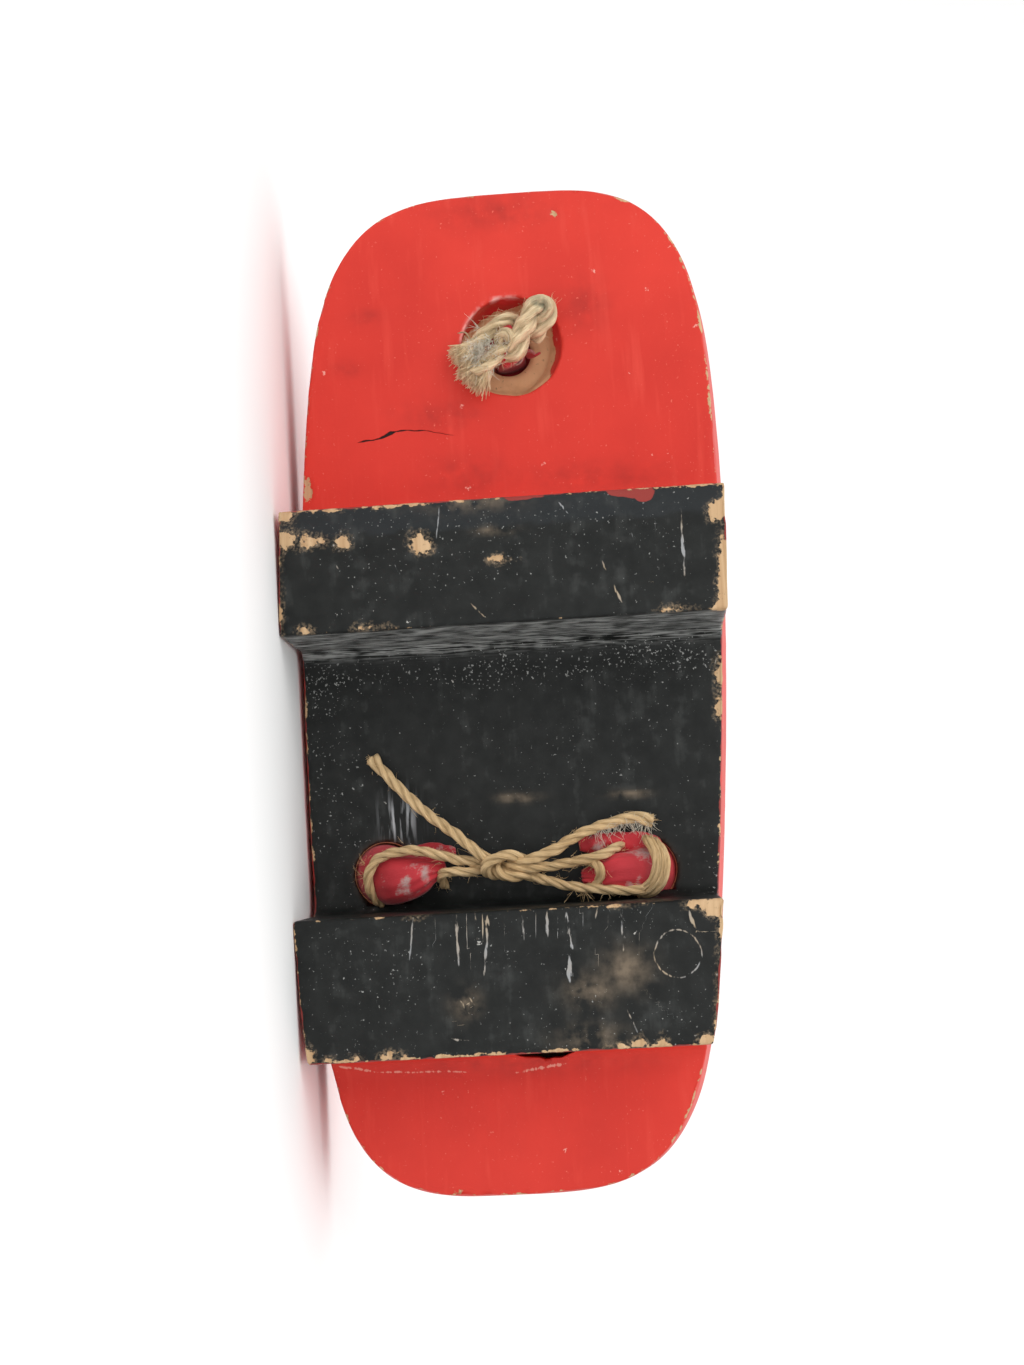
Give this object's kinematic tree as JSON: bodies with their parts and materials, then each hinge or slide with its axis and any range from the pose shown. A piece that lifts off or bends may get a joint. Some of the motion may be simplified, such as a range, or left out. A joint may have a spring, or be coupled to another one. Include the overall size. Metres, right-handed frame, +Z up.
{
  "type": "geta sandal",
  "caption": "Toothed wooden sandal carved from a painted block, with a padded cloth thong strap held by a toe post and tied underneath with twine.",
  "frame": {"origin": "on the floor under the middle of the sandal, which lies on its side", "axes": "-X towards the toe, -Y the way the ground faces of the teeth look, +Z up from the floor"},
  "size_m": [0.2272, 0.0828, 0.098],
  "materials": {
    "painted_wood": "red and black lacquer paint, worn to bare wood on the edges",
    "strap_cloth": "red padded cotton",
    "hemp_rope": "frayed hemp rope",
    "hemp_twine": "twisted hemp twine"
  },
  "bodies": {
    "root": {"carved_block": "painted_wood", "strap": "strap_cloth", "toe_post": "strap_cloth", "toe_toggle": "hemp_rope", "tie_strands": "hemp_twine", "tie_knot": "hemp_twine", "tie_end_left": "hemp_twine", "tie_end_right": "hemp_twine"}
  },
  "joints": []
}
